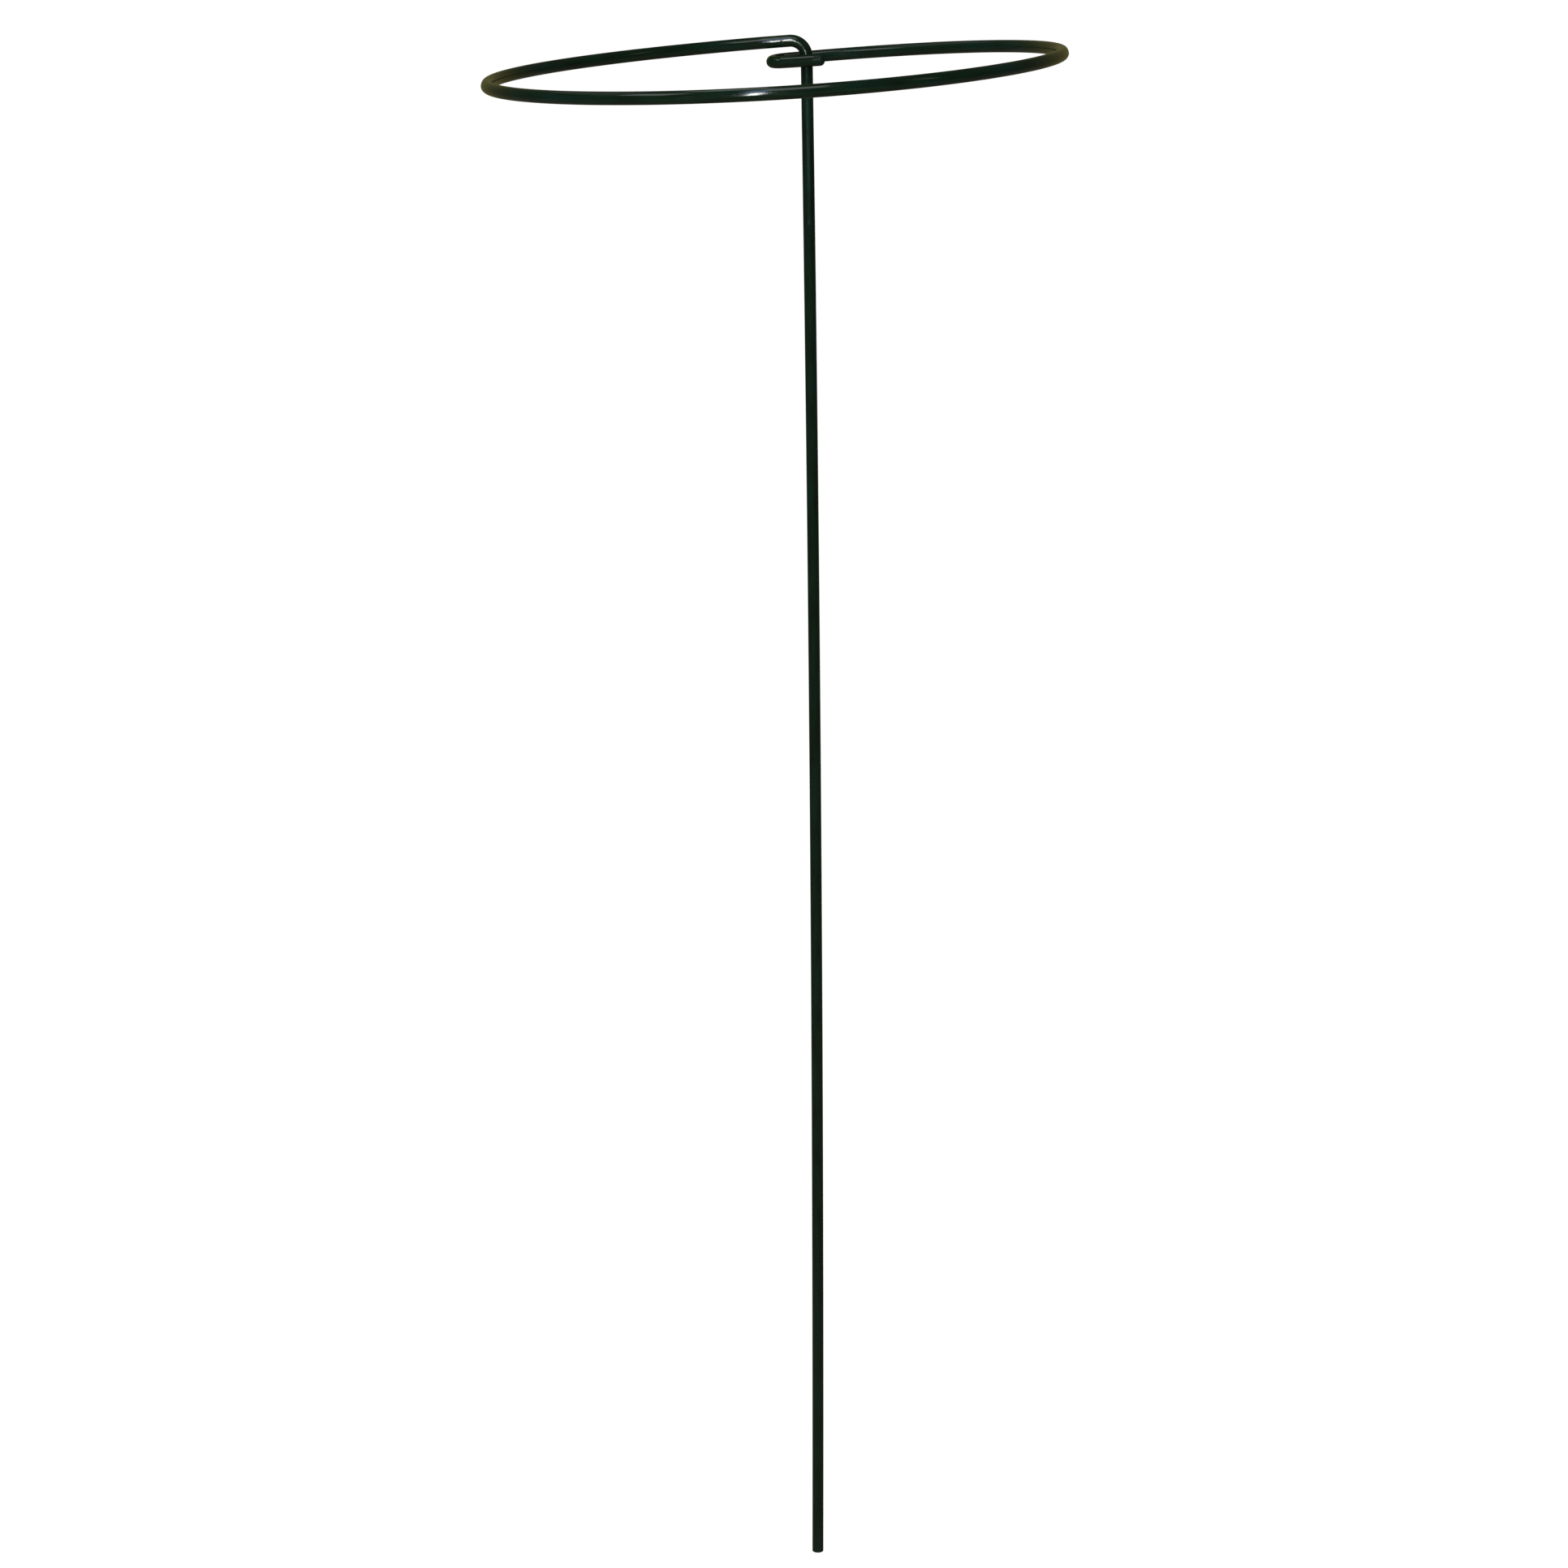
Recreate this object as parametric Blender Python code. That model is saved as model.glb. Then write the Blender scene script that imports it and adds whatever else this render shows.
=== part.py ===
"""Plant support: a stake, a ring and a closing hook, bent from one steel rod in a plastic coat.

Metres, +Z up. The origin is the middle of the stake's cut tip. The stake rises along +Z, the ring
reaches out towards -Y, and the rod leaves the top of the stake towards -X.
"""
import math

import bmesh
import bpy
from mathutils import Vector

MM = 0.001

# Rod
CORE_D = 4.7 * MM
BOND_GAP = 0.05 * MM
COAT_WALL = 0.4 * MM
END_ROUND = 2.2 * MM

# Stake, from its tip to the top of the bend, and the bend at the rod's middle line
HEIGHT = 760 * MM
TOP_LEAN = math.radians(0.94)
BEND_R = 7.4 * MM

# Ring, across its outside, and the gap where its end passes below its start
RING_D = 250 * MM
RING_TILT = math.radians(4.15)
RING_WARP = 0.5 * MM
WARP_TURN = math.radians(35)
UNDER_GAP = 3 * MM
DIP_POWER = 1.6

# Hook, with its reach to the left of the stake, its free end to the right and its mouth a little open
HOOK_GAP = 0.3 * MM
HOOK_REACH = 10.3 * MM
HOOK_TIP = 8.7 * MM
HOOK_DROP = 0.6 * MM
HOOK_TILT = math.radians(4.2)
HOOK_OPEN = math.radians(5)

# Smoothness
SIDES = 16
STAKE_STEPS = 12
BEND_STEPS = 10
RING_STEPS = 90
HOOK_STEPS = 15
END_STEPS = 5

# What follows from the sizes above
CORE_SINK = COAT_WALL + BOND_GAP
ROD_D = CORE_D + 2 * CORE_SINK
ROD_R = ROD_D / 2
TIP_ROUND = 0.75 * COAT_WALL
RING_R = (RING_D - ROD_D) / 2
ARM_OFFSET = ROD_D + HOOK_GAP
DIP = ROD_D + UNDER_GAP


def ease(t):
    """Rises from 0 to 1, level at both ends."""
    return t * t * (3 - 2 * t)


def mix(a, b, t):
    return a + (b - a) * t


def stake_points():
    """Middle line of the stake, upright at the tip and bowed a little to the left towards the top."""
    top = HEIGHT - ROD_R - BEND_R * (1 - math.sin(TOP_LEAN))
    bow = math.tan(TOP_LEAN) * top / 2
    heights = [0.0, TIP_ROUND] + [top * k / STAKE_STEPS for k in range(1, STAKE_STEPS + 1)]
    return [Vector((-bow * (z / top) ** 2, 0, z)) for z in heights]


def bend_points(start):
    """The tight turn from the stake's lean to the ring's tilt."""
    middle = start - BEND_R * Vector((math.cos(TOP_LEAN), 0, math.sin(TOP_LEAN)))
    points = []
    for k in range(1, BEND_STEPS + 1):
        angle = mix(TOP_LEAN, math.radians(90) + RING_TILT, k / BEND_STEPS)
        points.append(middle + BEND_R * Vector((math.cos(angle), 0, math.sin(angle))))
    return points


def ring_points(start, hook_x):
    """One turn of a tilted, slightly warped spiral that ends behind the stake, below its start."""
    arc_sag = HOOK_REACH ** 2 / (2 * RING_R)
    step_back = ARM_OFFSET + arc_sag
    points = []
    for k in range(1, RING_STEPS + 1):
        t = k / RING_STEPS
        turn = math.radians(360) * t
        radius = RING_R + step_back * ease(t)
        x = mix(start.x, hook_x, ease(t)) - radius * math.sin(turn)
        y = -RING_R + radius * math.cos(turn)
        rise = math.tan(RING_TILT) * (x - start.x)
        warp = RING_WARP * (math.cos(2 * turn - WARP_TURN) - math.cos(WARP_TURN))
        z = start.z + rise - warp - DIP * t ** DIP_POWER
        points.append(Vector((x, y, z)))
    return points


def hook_points(before, start):
    """The U that passes round the stake, and its front arm up to where the free end is rounded."""
    at_stake = ARM_OFFSET / math.cos(HOOK_OPEN)
    at_reach = at_stake - HOOK_REACH * math.tan(HOOK_OPEN)
    radius = (start.y + at_reach) / (1 + 1 / math.cos(HOOK_OPEN))
    slope_in = (before.z - start.z) / (before.x - start.x)
    slope_out = math.tan(HOOK_TILT)
    points = []
    for k in range(1, HOOK_STEPS + 1):
        t = k / HOOK_STEPS
        angle = (math.radians(180) - HOOK_OPEN) * t
        forward = radius * math.sin(angle)
        across = radius * (1 - math.cos(angle))
        z = start.z - forward * mix(slope_in, slope_out, t) - HOOK_DROP * (1 - math.cos(angle)) / 2
        points.append(Vector((start.x - forward, start.y - across, z)))
    run = HOOK_REACH + radius * math.sin(HOOK_OPEN) + HOOK_TIP
    length = run / math.cos(HOOK_OPEN) - END_ROUND
    points.append(points[-1] + length * Vector((math.cos(HOOK_OPEN), -math.sin(HOOK_OPEN), slope_out)))
    return points


def route():
    """Middle line of the whole rod, from the stake's tip to the start of the rounded free end."""
    points = stake_points()
    stake_x = points[-1].x
    points += bend_points(points[-1])
    points += ring_points(points[-1], stake_x - HOOK_REACH)
    points += hook_points(points[-2], points[-1])
    return points


def frames(points):
    """A point, its direction and two directions square to it, turned as little as can be."""
    across = Vector((1, 0, 0))
    result = []
    for k, point in enumerate(points):
        before = points[max(k - 1, 0)]
        after = points[min(k + 1, len(points) - 1)]
        along = (point - before).normalized() + (after - point).normalized()
        along.normalize()
        across = (across - across.dot(along) * along).normalized()
        result.append((point, along, across, along.cross(across)))
    return result


def add_loop(bm, frame, radius, ahead=0.0):
    """A round of vertices about the rod's middle line."""
    point, along, across, up = frame
    middle = point + ahead * along
    loop = []
    for k in range(SIDES):
        angle = math.radians(360) * k / SIDES
        loop.append(bm.verts.new(middle + radius * (math.cos(angle) * across + math.sin(angle) * up)))
    return loop


def skin_loops(bm, line, sink, tip_round=0.0):
    """Loops of a surface that lies sink below the rod's outer surface, rounded at the free end."""
    radius = ROD_R - sink
    loops = [add_loop(bm, line[0], radius - tip_round)]
    loops += [add_loop(bm, frame, radius) for frame in line[1:]]
    rounding = END_ROUND - sink
    for k in range(1, END_STEPS + 1):
        angle = math.radians(90) * k / END_STEPS
        edge = ROD_R - END_ROUND + rounding * math.cos(angle)
        loops.append(add_loop(bm, line[-1], edge, rounding * math.sin(angle)))
    return loops


def join_loops(bm, loops):
    """A tube wall that faces outwards where the loops run along the rod."""
    for near, far in zip(loops, loops[1:]):
        for k in range(SIDES):
            n = (k + 1) % SIDES
            bm.faces.new((near[k], near[n], far[n], far[k]))


def finish_object(name, bm, material):
    mesh = bpy.data.meshes.new(name)
    bm.to_mesh(mesh)
    bm.free()
    mesh.materials.append(material)
    mesh.shade_smooth()
    mesh.set_sharp_from_angle(angle=math.radians(50))
    piece = bpy.data.objects.new(name, mesh)
    bpy.context.collection.objects.link(piece)
    return piece


def make_core(line, material):
    """The bent steel rod, cut square at the stake's tip."""
    bm = bmesh.new()
    loops = skin_loops(bm, line, CORE_SINK)
    join_loops(bm, loops)
    bm.faces.new(reversed(loops[0]))
    bm.faces.new(loops[-1])
    return finish_object("steel_core", bm, material)


def make_coat(line, material):
    """The plastic round the steel: closed over the free end, cut open at the stake's tip."""
    bm = bmesh.new()
    outside = skin_loops(bm, line, 0.0, TIP_ROUND)
    bore = skin_loops(bm, line, COAT_WALL)
    join_loops(bm, bore[::-1] + outside)
    bm.faces.new(outside[-1])
    bm.faces.new(reversed(bore[-1]))
    return finish_object("plastic_coat", bm, material)


def make_material(name, colour, roughness, metallic):
    material = bpy.data.materials.new(name)
    material.use_nodes = True
    shader = material.node_tree.nodes["Principled BSDF"]
    shader.inputs["Base Color"].default_value = (*colour, 1)
    shader.inputs["Roughness"].default_value = roughness
    shader.inputs["Metallic"].default_value = metallic
    return material


def main():
    for old in list(bpy.data.objects):
        bpy.data.objects.remove(old)
    steel = make_material("drawn_steel", (0.42, 0.41, 0.39), 0.45, 1.0)
    plastic = make_material("green_pvc", (0.009, 0.021, 0.013), 0.3, 0.0)
    support = bpy.data.objects.new("plant_support", None)
    bpy.context.collection.objects.link(support)
    line = frames(route())
    for piece in (make_core(line, steel), make_coat(line, plastic)):
        piece.parent = support


main()
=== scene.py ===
"""Looks of the plant support: a drawn steel rod in a glossy green PVC coat, on a plain white floor.

Metres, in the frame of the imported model: +Z up, the origin in the middle of the stake's cut tip and
the ring towards -Y. The patterns are laid out in millimetres on the straightened rod.
"""
import math

import bmesh
import bpy
from mathutils import Matrix, Vector, noise


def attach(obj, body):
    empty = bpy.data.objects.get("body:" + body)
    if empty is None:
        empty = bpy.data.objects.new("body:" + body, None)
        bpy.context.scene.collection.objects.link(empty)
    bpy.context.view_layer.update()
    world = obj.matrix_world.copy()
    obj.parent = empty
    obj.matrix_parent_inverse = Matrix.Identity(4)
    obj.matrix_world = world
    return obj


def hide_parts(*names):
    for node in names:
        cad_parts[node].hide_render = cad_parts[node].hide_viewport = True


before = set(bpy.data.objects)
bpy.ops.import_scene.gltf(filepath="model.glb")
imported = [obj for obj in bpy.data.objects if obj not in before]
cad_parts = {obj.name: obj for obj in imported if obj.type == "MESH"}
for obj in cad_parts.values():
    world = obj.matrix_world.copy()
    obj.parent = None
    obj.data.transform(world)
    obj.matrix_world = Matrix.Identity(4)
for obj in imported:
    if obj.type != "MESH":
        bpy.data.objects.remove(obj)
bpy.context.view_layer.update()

MM = 0.001

# Rod, as in the solids
CORE_D = 4.7 * MM
BOND_GAP = 0.05 * MM
COAT_WALL = 0.4 * MM
END_ROUND = 2.2 * MM
CORE_SINK = COAT_WALL + BOND_GAP
ROD_R = CORE_D / 2 + CORE_SINK
TIP_ROUND = 0.75 * COAT_WALL

# Stake and bend
HEIGHT = 760 * MM
TOP_LEAN = math.radians(0.94)
BEND_R = 7.4 * MM

# Ring, across its outside, the gap where its end passes below its start, and the swell at its
# start, where the rod left the bending tool
RING_D = 250 * MM
RING_R = RING_D / 2 - ROD_R
RING_TILT = math.radians(4.15)
RING_WARP = 0.5 * MM
WARP_TURN = math.radians(35)
UNDER_GAP = 3 * MM
DIP = 2 * ROD_R + UNDER_GAP
DIP_POWER = 1.6
START_SWELL = 0.45 * MM
START_REACH = 18 * MM

# What the bending rollers flattened on the ring's outer side: how deep, half how wide, how far up,
# and the length over which it sets in
ROLLED_DEPTH = 0.14 * MM
ROLLED_HALF = math.radians(29)
ROLLED_UP = math.radians(20)
ROLLED_RAMP = 30 * MM

# What the clamp flattened on the front of the bend: how deep, half how wide, the lengths over which
# it sets in and fades, and how far it reaches past the bend's two ends
CLAMPED_DEPTH = 0.16 * MM
CLAMPED_HALF = math.radians(27)
CLAMPED_IN = 5 * MM
CLAMPED_OUT = 10 * MM
CLAMPED_BEFORE = 1 * MM
CLAMPED_AFTER = 8 * MM

# Hook, with its gap to the stake, its reach to the left and its free end to the right
HOOK_GAP = 0.3 * MM
ARM_OFFSET = 2 * ROD_R + HOOK_GAP
HOOK_REACH = 10.3 * MM
HOOK_TIP = 8.7 * MM
HOOK_DROP = 0.6 * MM
HOOK_TILT = math.radians(4.2)
HOOK_OPEN = math.radians(5)

# The vertices in a loop, the spacing of the loops along each part of the rod, and the spacing of
# the last loop before the free end is rounded. What the coat hides has only every third loop.
SIDES = 48
STAKE_STEP = 2.5 * MM
BEND_STEP = 0.45 * MM
RING_STEP = 2.0 * MM
ARM_STEP = 1.0 * MM
ARM_LAST = 0.1 * MM
INNER_EVERY = 3

# Steps of the roundings at the tip's rim and the free end, the faint dome over the flat of the free
# end, and the angle at which an edge looks sharp
TIP_STEPS = 4
END_STEPS = 8
DOME = 0.08 * MM
DOME_SHARES = (0.8, 0.55, 0.25)
SHARP_ANGLE = math.radians(50)

# The cut face at the tip: its loops, as shares of the steel's radius, how far one side is rolled
# over, and how rough the face is torn, with how many swells to a millimetre
CUT_SHARES = (0.2, 0.4, 0.6, 0.8, 0.92)
CUT_ROLLED = 0.2 * MM
CUT_TORN = 0.03 * MM
CUT_SWELLS = 1.5

# Marks pressed or scraped into the coat: the part of the rod, how far along it, the way the mark
# faces, half its length, half its width and its depth. A negative depth is a raised speck.
MARKS = (
    ("ring", 3.5 * MM, (0, -1, 0), 0.25 * MM, 0.4 * MM, 0.05 * MM),
    ("ring", 29.5 * MM, (0, -0.4, 1), 1.2 * MM, 0.6 * MM, 0.12 * MM),
    ("ring", 760 * MM, (-0.24, -0.9, 0.3), 0.5 * MM, 0.9 * MM, 0.12 * MM),
    ("stake", 673.4 * MM, (0.1, -1, 0), 0.6 * MM, 0.5 * MM, -0.10 * MM),
)

# Where a mark ends, in its half lengths, how far about it the loops are closer together, and how
# many times closer
MARK_ENDS = 4
MARK_REACH = 4 * MM
MARK_FINER = 4

# The free end, scuffed by handling: how many loops of the coat, and how rubbed, from 0 to 1
DULL_LOOPS = 15
DULL_RUBBED = 0.4

# Waves in the wall of the extruded coat, drawn out along the rod
WAVE_LENGTH = 14 * MM
WAVE_HEIGHT = 0.006 * MM
WAVE_STRETCH = 3

# Camera, fitted to the rod's edges in the photograph
CAMERA_AT = Vector((102.869, -1931.753, 902.806)) * MM
CAMERA_YAW = math.radians(-3.549)
CAMERA_PITCH = math.radians(14.504)
CAMERA_ROLL = math.radians(0.046)
CAMERA_ANGLE = math.radians(21.495)

# What the coat mirrors of the room, as linear colours: dark in front, less dark behind the support,
# a glow from the ground and a warmer light at the back
ROOM_FRONT = (0.03, 0.03, 0.03, 1)
ROOM_BEHIND = (0.055, 0.058, 0.045, 1)
ROOM_GROUND = (0.12, 0.117, 0.088, 1)
ROOM_WARM = (0.142, 0.128, 0.05, 1)
WHITE = (1, 1, 1, 1)

# Soft light on the coat's own green: where most of it comes from, and how bright it is there
SOFT_FROM = (-0.35, -0.85, 0)
SOFT_MOST = 1.3

# Lamps: the point of the ring that they face, how far off they stand, and the watts of a square
# metre with a radiance of 1
LAMP_AIM = Vector((-15, -125, 755)) * MM
LAMP_DISTANCE = 2.1
LAMP_WATTS = 4

# Floor, far past the horizon of every view
FLOOR_HALF = 40.0


def ease(t):
    """Rises from 0 to 1, level at both ends."""
    return t * t * (3 - 2 * t)


def mix(a, b, t):
    return a + (b - a) * t


def shares(part, length, step):
    """Even shares of a part's length, closer together near its marks."""
    count = round(length / step)
    marks = [mark[1] for mark in MARKS if mark[0] == part]
    result = []
    for k in range(count):
        near = any(abs((k + 0.5) * length / count - mark) < MARK_REACH for mark in marks)
        steps = range(1, MARK_FINER + 1) if near else (MARK_FINER,)
        result += [(k + n / MARK_FINER) / count for n in steps]
    return result


def stake_points():
    """Upright at the tip and bowed a little to the left towards the top."""
    top = HEIGHT - ROD_R - BEND_R * (1 - math.sin(TOP_LEAN))
    bow = math.tan(TOP_LEAN) * top / 2
    heights = [0.0]
    for k in range(2, TIP_STEPS + 1):
        heights.append(TIP_ROUND * (1 - math.cos(math.radians(90) * k / TIP_STEPS)))
    heights += [top * t for t in shares("stake", top, STAKE_STEP)]
    return [Vector((-bow * (z / top) ** 2, 0, z)) for z in heights]


def bend_points(start):
    """The tight turn from the stake's lean to the ring's tilt."""
    middle = start - BEND_R * Vector((math.cos(TOP_LEAN), 0, math.sin(TOP_LEAN)))
    sweep = math.radians(90) + RING_TILT - TOP_LEAN
    points = []
    for t in shares("bend", sweep * BEND_R, BEND_STEP):
        angle = TOP_LEAN + sweep * t
        points.append(middle + BEND_R * Vector((math.cos(angle), 0, math.sin(angle))))
    return points


def ring_points(start, hook_x):
    """One turn of a tilted, slightly warped spiral that ends behind the stake, below its start."""
    step_back = ARM_OFFSET + HOOK_REACH ** 2 / (2 * RING_R)
    points = []
    for t in shares("ring", 2 * math.pi * RING_R, RING_STEP):
        turn = math.radians(360) * t
        straight = (turn * RING_R / START_REACH) ** 2
        radius = RING_R + step_back * ease(t) + START_SWELL * straight * math.exp(1 - straight)
        x = mix(start.x, hook_x, ease(t)) - radius * math.sin(turn)
        y = -RING_R + radius * math.cos(turn)
        rise = math.tan(RING_TILT) * (x - start.x)
        warp = RING_WARP * (math.cos(2 * turn - WARP_TURN) - math.cos(WARP_TURN))
        z = start.z + rise - warp - DIP * t ** DIP_POWER
        points.append(Vector((x, y, z)))
    return points


def hook_points(before, start):
    """The U that passes round the stake and leaves its mouth a little open."""
    at_stake = ARM_OFFSET / math.cos(HOOK_OPEN)
    at_reach = at_stake - HOOK_REACH * math.tan(HOOK_OPEN)
    radius = (start.y + at_reach) / (1 + 1 / math.cos(HOOK_OPEN))
    sweep = math.radians(180) - HOOK_OPEN
    slope_in = (before.z - start.z) / (before.x - start.x)
    points = []
    for t in shares("hook", sweep * radius, BEND_STEP):
        angle = sweep * t
        forward = radius * math.sin(angle)
        slope = mix(slope_in, math.tan(HOOK_TILT), t)
        z = start.z - forward * slope - HOOK_DROP * (1 - math.cos(angle)) / 2
        points.append(Vector((start.x - forward, start.y - radius * (1 - math.cos(angle)), z)))
    return points


def arm_points(start, end_x):
    """The hook's straight front arm, up to where the free end is rounded."""
    length = (end_x - start.x) / math.cos(HOOK_OPEN) - END_ROUND
    run = length * Vector((math.cos(HOOK_OPEN), -math.sin(HOOK_OPEN), math.tan(HOOK_TILT)))
    steps = shares("arm", length, ARM_STEP)
    steps.insert(-1, 1 - ARM_LAST / length)
    return [start + t * run for t in steps]


def route():
    """Middle line of the whole rod, and how far along it each part starts."""
    parts = {"stake": stake_points()}
    parts["bend"] = bend_points(parts["stake"][-1])
    parts["ring"] = ring_points(parts["bend"][-1], parts["stake"][-1].x - HOOK_REACH)
    parts["hook"] = hook_points(parts["ring"][-2], parts["ring"][-1])
    parts["arm"] = arm_points(parts["hook"][-1], parts["stake"][-1].x + HOOK_TIP)
    points = []
    starts = {}
    length = 0.0
    for name, part in parts.items():
        starts[name] = length
        for point in part:
            if points:
                length += (point - points[-1]).length
            points.append(point)
    return points, starts


def places(points):
    """Each point with its direction, two directions square to it, and its way along the rod."""
    across = Vector((1, 0, 0))
    way = 0.0
    result = []
    for k, point in enumerate(points):
        before = points[max(k - 1, 0)]
        after = points[min(k + 1, len(points) - 1)]
        along = ((point - before).normalized() + (after - point).normalized()).normalized()
        across = (across - across.dot(along) * along).normalized()
        way += (point - before).length
        result.append((point, along, across, along.cross(across), way))
    return result


def rolled_at(place, outward, ring_from, ring_to):
    """How deep the bending rollers pressed the ring's outer side in at this spot."""
    ramp = min(place[4] - ring_from, ring_to - place[4]) / ROLLED_RAMP
    if ramp <= 0:
        return 0.0
    level = Vector((-place[1].y, place[1].x, 0)).normalized()
    facing = Vector((0, 0, math.sin(ROLLED_UP))) - math.cos(ROLLED_UP) * level
    return ROLLED_DEPTH * min(ramp, 1) * math.exp(-(outward.angle(facing) / ROLLED_HALF) ** 2)


def clamped_at(place, outward, bend_from, bend_to):
    """How deep the bending clamp pressed the front of the bend in at this spot."""
    inwards = (place[4] - bend_from + CLAMPED_BEFORE) / CLAMPED_IN
    outwards = (bend_to + CLAMPED_AFTER - place[4]) / CLAMPED_OUT
    ramp = min(inwards, outwards)
    if ramp <= 0:
        return 0.0
    aside = outward.angle(Vector((0, -1, 0))) / CLAMPED_HALF
    return CLAMPED_DEPTH * ease(min(ramp, 1)) * math.exp(-aside ** 2)


def mark_at(place, outward, marks):
    """How deep the marks press the coat in at this spot, and how rubbed it is."""
    depth = 0.0
    rubbed = 0.0
    for way, facing, half_length, half_width, mark_depth in marks:
        ahead = (place[4] - way) / half_length
        if abs(ahead) > MARK_ENDS:
            continue
        flat = (facing - facing.dot(place[1]) * place[1]).normalized()
        aside = ROD_R * outward.angle(flat) / half_width
        share = math.exp(-ahead ** 2 - aside ** 2)
        depth += mark_depth * share
        rubbed = max(rubbed, math.sqrt(share))
    return depth, rubbed


def new_skin():
    """An empty mesh whose vertices keep their place on the straightened rod, in millimetres."""
    bm = bmesh.new()
    bm.verts.layers.float_vector.new("rod_mm")
    bm.verts.layers.float.new("rubbed")
    return bm


def add_loop(bm, place, radius, ahead=0.0, wave=0.0, pressed=None):
    """A round of vertices about the rod's middle line."""
    point, along, across, up, way = place
    rod_mm = bm.verts.layers.float_vector["rod_mm"]
    rub = bm.verts.layers.float["rubbed"]
    loop = []
    for k in range(SIDES):
        angle = math.radians(360) * k / SIDES
        outward = math.cos(angle) * across + math.sin(angle) * up
        on_rod = Vector((radius * math.cos(angle), radius * math.sin(angle), way + ahead))
        drawn_out = Vector((on_rod.x, on_rod.y, on_rod.z / WAVE_STRETCH))
        swell = wave * noise.noise(drawn_out * WAVE_STRETCH / WAVE_LENGTH)
        depth, rubbed = pressed(place, outward) if pressed else (0.0, 0.0)
        vert = bm.verts.new(point + ahead * along + (radius + swell - depth) * outward)
        vert[rod_mm] = on_rod / MM
        vert[rub] = rubbed
        loop.append(vert)
    return loop


def join_loops(bm, loops):
    """A tube wall that faces outwards where the loops run along the rod."""
    for near, far in zip(loops, loops[1:]):
        for k in range(SIDES):
            n = (k + 1) % SIDES
            bm.faces.new((near[k], near[n], far[n], far[k]))


def close_loop(bm, loop):
    """A fan over the last loop, facing along the rod."""
    rod_mm = bm.verts.layers.float_vector["rod_mm"]
    middle = bm.verts.new(sum((vert.co for vert in loop), Vector()) / len(loop))
    middle[rod_mm] = sum((vert[rod_mm] for vert in loop), Vector()) / len(loop)
    for k in range(SIDES):
        bm.faces.new((loop[k], loop[(k + 1) % SIDES], middle))


def end_loops(bm, place, sink):
    """The rounded free end, then a faint dome over its flat."""
    rounding = END_ROUND - sink
    flat = ROD_R - END_ROUND
    loops = []
    for k in range(1, END_STEPS + 1):
        angle = math.radians(90) * k / END_STEPS
        radius = flat + rounding * math.cos(angle)
        loops.append(add_loop(bm, place, radius, rounding * math.sin(angle)))
    for share in DOME_SHARES:
        dome = DOME * (1 - share ** 2)
        loops.append(add_loop(bm, place, flat * share, rounding + dome))
    return loops


def finish_piece(name, bm, material, node):
    """Turns the skin into a piece that rides on the rod's one body and stands for its CAD node."""
    mesh = bpy.data.meshes.new(name)
    bm.to_mesh(mesh)
    bm.free()
    mesh.materials.append(material)
    mesh.shade_smooth()
    mesh.set_sharp_from_angle(angle=SHARP_ANGLE)
    piece = bpy.data.objects.new(name, mesh)
    bpy.context.scene.collection.objects.link(piece)
    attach(piece, "root")
    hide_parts(node)
    return piece


def make_coat(line, starts, material):
    """The PVC coat: a wavy, marked skin with a cut rim and a dull free end, and its bore."""
    marks = []
    for part, way, facing, *size in MARKS:
        marks.append((starts[part] + way, Vector(facing).normalized(), *size))

    def pressed(place, outward):
        depth, rubbed = mark_at(place, outward, marks)
        depth += rolled_at(place, outward, starts["ring"], starts["hook"])
        depth += clamped_at(place, outward, starts["bend"], starts["ring"])
        return depth, rubbed

    bm = new_skin()
    outside = []
    for place in line:
        over = max(1 - place[4] / TIP_ROUND, 0)
        radius = ROD_R - TIP_ROUND * (1 - math.sqrt(1 - over ** 2))
        outside.append(add_loop(bm, place, radius, wave=WAVE_HEIGHT, pressed=pressed))
    outside += end_loops(bm, line[-1], 0.0)
    rub = bm.verts.layers.float["rubbed"]
    for vert in (vert for loop in outside[-DULL_LOOPS:] for vert in loop):
        vert[rub] = DULL_RUBBED
    bore = [add_loop(bm, place, ROD_R - COAT_WALL) for place in inner_line(line)]
    bore += end_loops(bm, line[-1], COAT_WALL)
    join_loops(bm, bore[::-1] + outside)
    close_loop(bm, outside[-1])
    close_loop(bm, bore[-1][::-1])
    return finish_piece("green_coat", bm, material, "plastic_coat")


def inner_line(line):
    """Fewer places for what the coat hides."""
    return line[:-1:INNER_EVERY] + line[-1:]


def make_core(line, material):
    """The steel rod, with a cut face at the tip: rolled over at one side and torn at the other."""
    bm = new_skin()
    radius = ROD_R - CORE_SINK
    loops = []
    for share in CUT_SHARES:
        loops.append(add_loop(bm, line[0], radius * share))
    loops += [add_loop(bm, place, radius) for place in inner_line(line)]
    for loop in loops[:len(CUT_SHARES) + 1]:
        for vert in loop:
            rolled = max(-vert.co.x / radius, 0) ** 2
            torn = noise.noise(vert.co * CUT_SWELLS / MM)
            vert.co.z += CUT_ROLLED * rolled + CUT_TORN * (1 + torn)
    loops += end_loops(bm, line[-1], CORE_SINK)
    join_loops(bm, loops)
    close_loop(bm, loops[-1])
    close_loop(bm, loops[0][::-1])
    return finish_piece("steel_rod", bm, material, "steel_core")


def linear(colour):
    """A hex colour as linear red, green, blue and alpha."""
    parts = [int(colour[k:k + 2], 16) / 255 for k in (1, 3, 5)]
    return [c / 12.92 if c <= 0.04045 else ((c + 0.055) / 1.055) ** 2.4 for c in parts] + [1.0]


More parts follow.
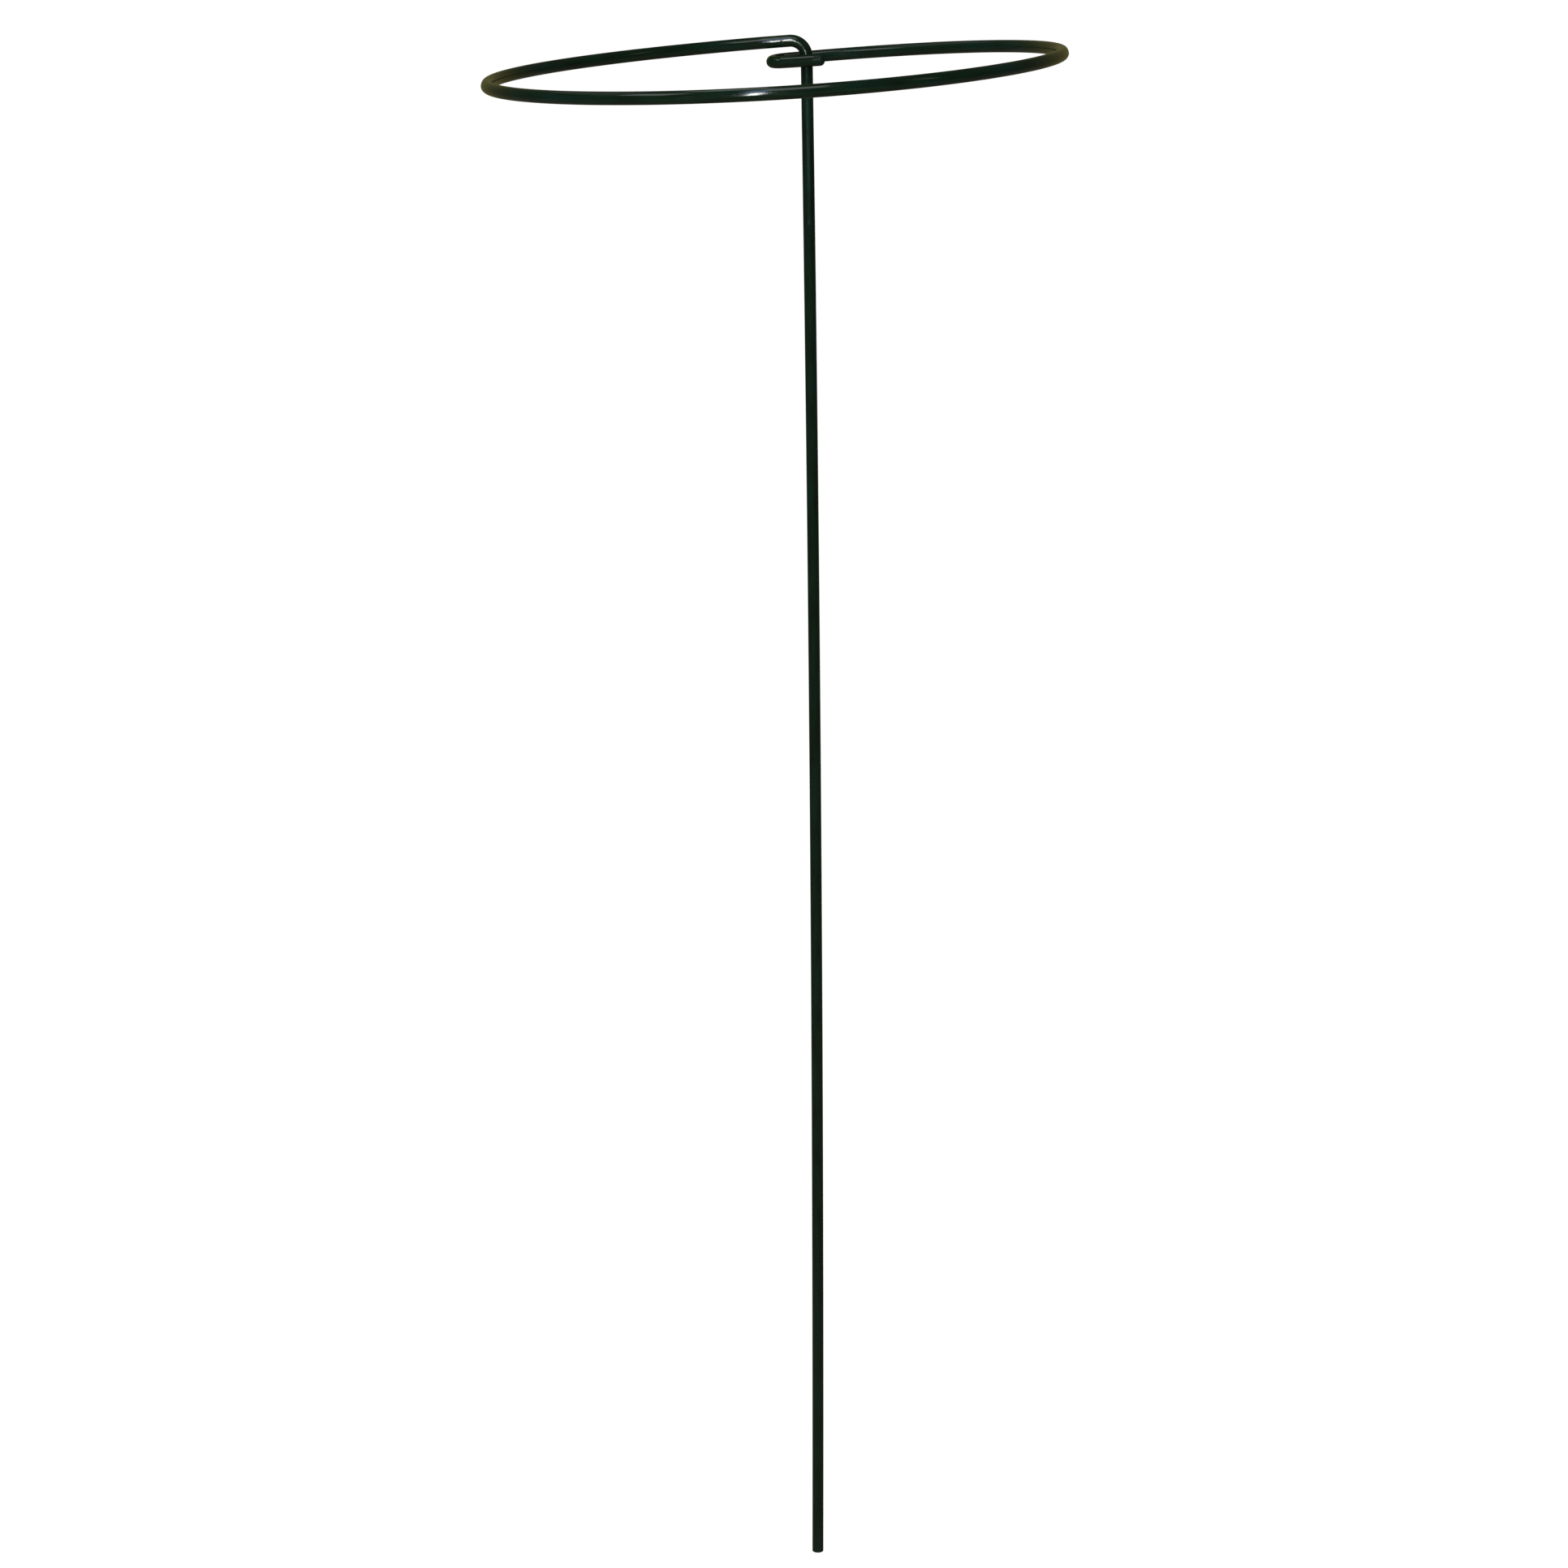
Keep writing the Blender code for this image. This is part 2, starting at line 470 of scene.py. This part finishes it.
def add(tree, kind, inputs=None, output=0, **settings):
    """Adds a node with its settings, values and links, and returns one of its outputs."""
    made = tree.nodes.new(kind)
    for name, value in settings.items():
        setattr(made, name, value)
    for key, value in (inputs or {}).items():
        if isinstance(value, bpy.types.NodeSocket):
            tree.links.new(value, made.inputs[key])
        else:
            made.inputs[key].default_value = value
    return made.outputs[output]


def new_material(name):
    """A material with its node tree and its shader."""
    material = bpy.data.materials.new(name)
    material.use_nodes = True
    return material, material.node_tree, material.node_tree.nodes["Principled BSDF"]


def extruded_pvc():
    """Plasticised PVC, extruded hot over the steel: smooth and glossy, so lamps show as thin bright
    lines, with faint draw lines along the rod and clouds where the pigment mixed unevenly."""
    material, tree, shader = new_material("extruded_green_pvc")
    rod = add(tree, "ShaderNodeAttribute", {}, "Vector", attribute_name="rod_mm")
    rubbed = add(tree, "ShaderNodeAttribute", {}, "Fac", attribute_name="rubbed")

    # Pigment clouds, 3 mm round the rod and 16 mm along it
    cloud_at = add(tree, "ShaderNodeVectorMath", {0: rod, 1: (1 / 3, 1 / 3, 1 / 16)},
                   operation="MULTIPLY")
    clouds = add(tree, "ShaderNodeTexNoise", {"Vector": cloud_at, "Scale": 1.0, "Detail": 3.0})
    cloudy = add(tree, "ShaderNodeMapRange", {"Value": clouds, "From Min": 0.35, "From Max": 0.65})
    green = add(tree, "ShaderNodeMix", {0: cloudy, 6: linear("#0A190E"), 7: linear("#0D2213")}, 2,
                data_type="RGBA")

    # Bluer patches, 6 mm round the rod and 25 mm along it
    patch_at = add(tree, "ShaderNodeVectorMath", {0: rod, 1: (1 / 6, 1 / 6, 1 / 25)},
                   operation="MULTIPLY")
    patches = add(tree, "ShaderNodeTexNoise", {"Vector": patch_at, "Scale": 1.0, "Detail": 1.0})
    patchy = add(tree, "ShaderNodeMapRange", {"Value": patches, "From Min": 0.5, "From Max": 0.75})
    toned = add(tree, "ShaderNodeMix", {0: patchy, 6: green, 7: linear("#0B231B")}, 2,
                data_type="RGBA")

    # Pale, scuffed plastic in the marks and at the free end
    worn = add(tree, "ShaderNodeMath", {0: rubbed, 1: 0.3}, operation="MULTIPLY")
    colour = add(tree, "ShaderNodeMix", {0: worn, 6: toned, 7: linear("#26332C")}, 2,
                 data_type="RGBA")
    tree.links.new(colour, shader.inputs["Base Color"])

    # Gloss that varies over 2 mm round the rod and 5 mm along it, duller where the coat is scuffed
    gloss_at = add(tree, "ShaderNodeVectorMath", {0: rod, 1: (1 / 2, 1 / 2, 1 / 5)},
                   operation="MULTIPLY")
    gloss = add(tree, "ShaderNodeTexNoise", {"Vector": gloss_at, "Scale": 1.0, "Detail": 4.0})
    dull = add(tree, "ShaderNodeMapRange",
               {"Value": gloss, "From Min": 0.3, "From Max": 0.7, "To Min": 0.09, "To Max": 0.15})
    roughness = add(tree, "ShaderNodeMath", {0: rubbed, 1: 0.5, 2: dull}, operation="MULTIPLY_ADD")
    tree.links.new(roughness, shader.inputs["Roughness"])

    # Scuffed plastic mirrors less, because its fine scratches scatter the light
    mirrored = add(tree, "ShaderNodeMapRange",
                   {"Value": rubbed, "From Max": DULL_RUBBED, "To Min": 0.5, "To Max": 0.15})
    tree.links.new(mirrored, shader.inputs["Specular IOR Level"])

    # Draw lines, 0.25 mm apart round the rod and 40 mm long, under a faint orange peel of 2.5 mm
    line_at = add(tree, "ShaderNodeVectorMath", {0: rod, 1: (4, 4, 1 / 40)}, operation="MULTIPLY")
    lines = add(tree, "ShaderNodeTexNoise", {"Vector": line_at, "Scale": 1.0, "Detail": 2.0})
    lined = add(tree, "ShaderNodeBump", {"Height": lines, "Distance": 0.0002 * MM})
    peel = add(tree, "ShaderNodeTexNoise", {"Vector": rod, "Scale": 1 / 2.5, "Detail": 1.0})
    peeled = add(tree, "ShaderNodeBump", {"Height": peel, "Distance": 0.003 * MM, "Normal": lined})
    tree.links.new(peeled, shader.inputs["Normal"])

    shader.inputs["IOR"].default_value = 1.53
    return material


def drawn_steel():
    """Mild steel, drawn to wire and cropped: bright lines along the rod, and on the cut face a
    smooth sheared part beside a dull, torn part with a breath of rust."""
    material, tree, shader = new_material("drawn_cropped_steel")
    rod = add(tree, "ShaderNodeAttribute", {}, "Vector", attribute_name="rod_mm")

    # Die lines, 0.2 mm apart round the rod and 30 mm long
    line_at = add(tree, "ShaderNodeVectorMath", {0: rod, 1: (5, 5, 1 / 30)}, operation="MULTIPLY")
    lines = add(tree, "ShaderNodeTexNoise", {"Vector": line_at, "Scale": 1.0, "Detail": 3.0})

    # Shear marks across the cut face, 0.15 mm apart, and the torn half
    shear_at = add(tree, "ShaderNodeVectorMath", {0: rod, 1: (1 / 1.5, 7, 1)}, operation="MULTIPLY")
    shear = add(tree, "ShaderNodeTexNoise", {"Vector": shear_at, "Scale": 1.0, "Detail": 4.0})
    sideways = add(tree, "ShaderNodeSeparateXYZ", {"Vector": rod}, "X")
    torn = add(tree, "ShaderNodeMapRange", {"Value": sideways, "From Min": -0.4, "From Max": 0.6})
    rust = add(tree, "ShaderNodeMath", {0: torn, 1: shear}, operation="MULTIPLY")
    colour = add(tree, "ShaderNodeMix", {0: rust, 6: linear("#A5A29C"), 7: linear("#6E5A48")}, 2,
                 data_type="RGBA")
    tree.links.new(colour, shader.inputs["Base Color"])

    roughness = add(tree, "ShaderNodeMapRange", {"Value": rust, "To Min": 0.28, "To Max": 0.85})
    tree.links.new(roughness, shader.inputs["Roughness"])
    lined = add(tree, "ShaderNodeBump", {"Height": lines, "Distance": 0.006 * MM})
    sheared = add(tree, "ShaderNodeBump", {"Height": shear, "Distance": 0.02 * MM, "Normal": lined})
    tree.links.new(sheared, shader.inputs["Normal"])
    shader.inputs["Metallic"].default_value = 1.0
    return material


def opal_light_table():
    """Opal acrylic lit from below: an even white with no shadow. Its own light and what falls on it
    add up to just white, so that it doesn't eat into the rod's dark edges."""
    material, _, shader = new_material("lit_opal_acrylic")
    shader.inputs["Base Color"].default_value = linear("#595958")
    shader.inputs["Roughness"].default_value = 0.9
    shader.inputs["Emission Color"].default_value = linear("#FFFFFF")
    shader.inputs["Emission Strength"].default_value = 0.99
    return material


def add_floor():
    """A plain floor that reaches past the horizon of every view. The coat mirrors the room below
    the horizon instead of it, which is dimmer."""
    corners = [(x * FLOOR_HALF, y * FLOOR_HALF, 0) for x, y in ((-1, -1), (1, -1), (1, 1), (-1, 1))]
    mesh = bpy.data.meshes.new("floor")
    mesh.from_pydata(corners, [], [(0, 1, 2, 3)])
    mesh.materials.append(opal_light_table())
    floor = bpy.data.objects.new("floor", mesh)
    bpy.context.scene.collection.objects.link(floor)
    floor.visible_glossy = False
    floor.visible_diffuse = False


def add_world():
    """A white wall for the camera, a soft light that comes mostly from the front left, and a dim
    room that the glossy coat mirrors, with a glow from the ground and a warm light at the back."""
    world = bpy.data.worlds.new("studio")
    bpy.context.scene.world = world
    world.use_nodes = True
    tree = world.node_tree
    seen_by = add(tree, "ShaderNodeLightPath").node.outputs
    direction = add(tree, "ShaderNodeTexCoord", {}, "Generated")
    apart = add(tree, "ShaderNodeSeparateXYZ", {0: direction}).node.outputs

    # The walls and the ground
    behind = add(tree, "ShaderNodeMapRange",
                 {"Value": apart["Y"], "From Min": -0.2, "From Max": 0.5})
    walls = add(tree, "ShaderNodeMix", {0: behind, 6: ROOM_FRONT, 7: ROOM_BEHIND}, 2,
                data_type="RGBA")
    below = add(tree, "ShaderNodeMapRange",
                {"Value": apart["Z"], "From Min": -0.1, "From Max": -0.45})
    ground = add(tree, "ShaderNodeMix", {0: below, 6: walls, 7: ROOM_GROUND}, 2, data_type="RGBA")

    # Warm light from straight behind, near the horizon
    steep = add(tree, "ShaderNodeMath", {0: apart["Z"]}, operation="ABSOLUTE")
    level = add(tree, "ShaderNodeMapRange", {"Value": steep, "From Min": 0.5, "From Max": 0.25})
    backward = add(tree, "ShaderNodeMapRange",
                   {"Value": apart["Y"], "From Min": 0.45, "From Max": 0.85})
    warmth = add(tree, "ShaderNodeMath", {0: level, 1: backward}, operation="MULTIPLY")
    room = add(tree, "ShaderNodeMix", {0: warmth, 6: ground, 7: ROOM_WARM}, 2, data_type="RGBA")

    # The soft light, and which of the three the camera, the gloss and the green see
    toward = add(tree, "ShaderNodeVectorMath", {0: direction, 1: SOFT_FROM}, 1,
                 operation="DOT_PRODUCT")
    soft = add(tree, "ShaderNodeMapRange",
               {"Value": toward, "From Min": -0.25, "From Max": 0.9, "To Max": SOFT_MOST})
    lit = add(tree, "ShaderNodeMix", {0: seen_by["Is Glossy Ray"], 6: soft, 7: room}, 2,
              data_type="RGBA")
    seen = add(tree, "ShaderNodeMix", {0: seen_by["Is Camera Ray"], 6: lit, 7: WHITE}, 2,
               data_type="RGBA")
    tree.links.new(seen, tree.nodes["Background"].inputs["Color"])


def add_softbox(name, azimuth, elevation, width, height, radiance, colour="#FFFFFF",
                distance=LAMP_DISTANCE):
    """A lamp that faces the ring. Azimuth 0 is in front and grows to the right. Both angles are in
    degrees, and the lamp's size and distance in metres."""
    a = math.radians(azimuth)
    e = math.radians(elevation)
    away = Vector((math.sin(a) * math.cos(e), -math.cos(a) * math.cos(e), math.sin(e)))
    lamp = bpy.data.lights.new(name, "AREA")
    lamp.shape = "RECTANGLE"
    lamp.size = width
    lamp.size_y = height
    lamp.energy = LAMP_WATTS * width * height * radiance
    lamp.color = linear(colour)[:3]
    box = bpy.data.objects.new(name, lamp)
    turn = away.to_track_quat("Z", "Y").to_matrix().to_4x4()
    box.matrix_world = Matrix.Translation(LAMP_AIM + distance * away) @ turn
    box.visible_camera = False
    bpy.context.scene.collection.objects.link(box)


def add_lamps():
    """The lamps whose reflections the photograph shows on the rod."""
    add_softbox("front_window", -3.9, 11.6, 0.078, 0.515, 22, distance=1.0)
    add_softbox("low_sky", -6.5, 41, 0.26, 1.05, 2.6, "#BCD7FF")
    add_softbox("high_sky", -12, 62, 0.30, 0.55, 0.9, "#C9D6FF")
    add_softbox("right_ceiling_lamp", 11.5, 58, 0.62, 1.20, 1.2)
    add_softbox("left_ceiling_lamp", -57, 45, 0.70, 0.72, 1.45)
    add_softbox("left_ceiling", -112, 50, 2.20, 0.75, 0.16)
    add_softbox("right_doorway", 67, 34, 0.20, 0.75, 0.4, "#FBFFD3")
    add_softbox("left_doorway", -30, 7.5, 0.15, 1.32, 0.12)
    add_softbox("overhead_left_lamp", -84, 77.6, 0.26, 0.14, 1.15, distance=0.476)
    add_softbox("table_edge", 6.8, -9.6, 1.16, 0.043, 0.5, "#B8FFF6", distance=0.895)


def add_camera():
    """The camera at the place and angle from which the photograph was taken."""
    yaw = CAMERA_YAW
    level = math.cos(CAMERA_PITCH)
    ahead = Vector((math.sin(yaw) * level, math.cos(yaw) * level, -math.sin(CAMERA_PITCH)))
    roll = Matrix.Rotation(CAMERA_ROLL, 3, ahead)
    right = roll @ Vector((math.cos(yaw), -math.sin(yaw), 0))
    up = right.cross(ahead)
    camera = bpy.data.objects.new("camera", bpy.data.cameras.new("camera"))
    camera.matrix_world = Matrix((right, up, -ahead)).transposed().to_4x4()
    camera.location = CAMERA_AT
    camera.data.sensor_fit = "HORIZONTAL"
    camera.data.angle = CAMERA_ANGLE
    bpy.context.scene.collection.objects.link(camera)
    bpy.context.scene.camera = camera


add_camera()
points, starts = route()
line = places(points)
make_core(line, drawn_steel())
make_coat(line, starts, extruded_pvc())
add_floor()
add_world()
add_lamps()

# Plain display colours, so that the lit floor and wall show as pure white
bpy.context.scene.view_settings.view_transform = "Standard"
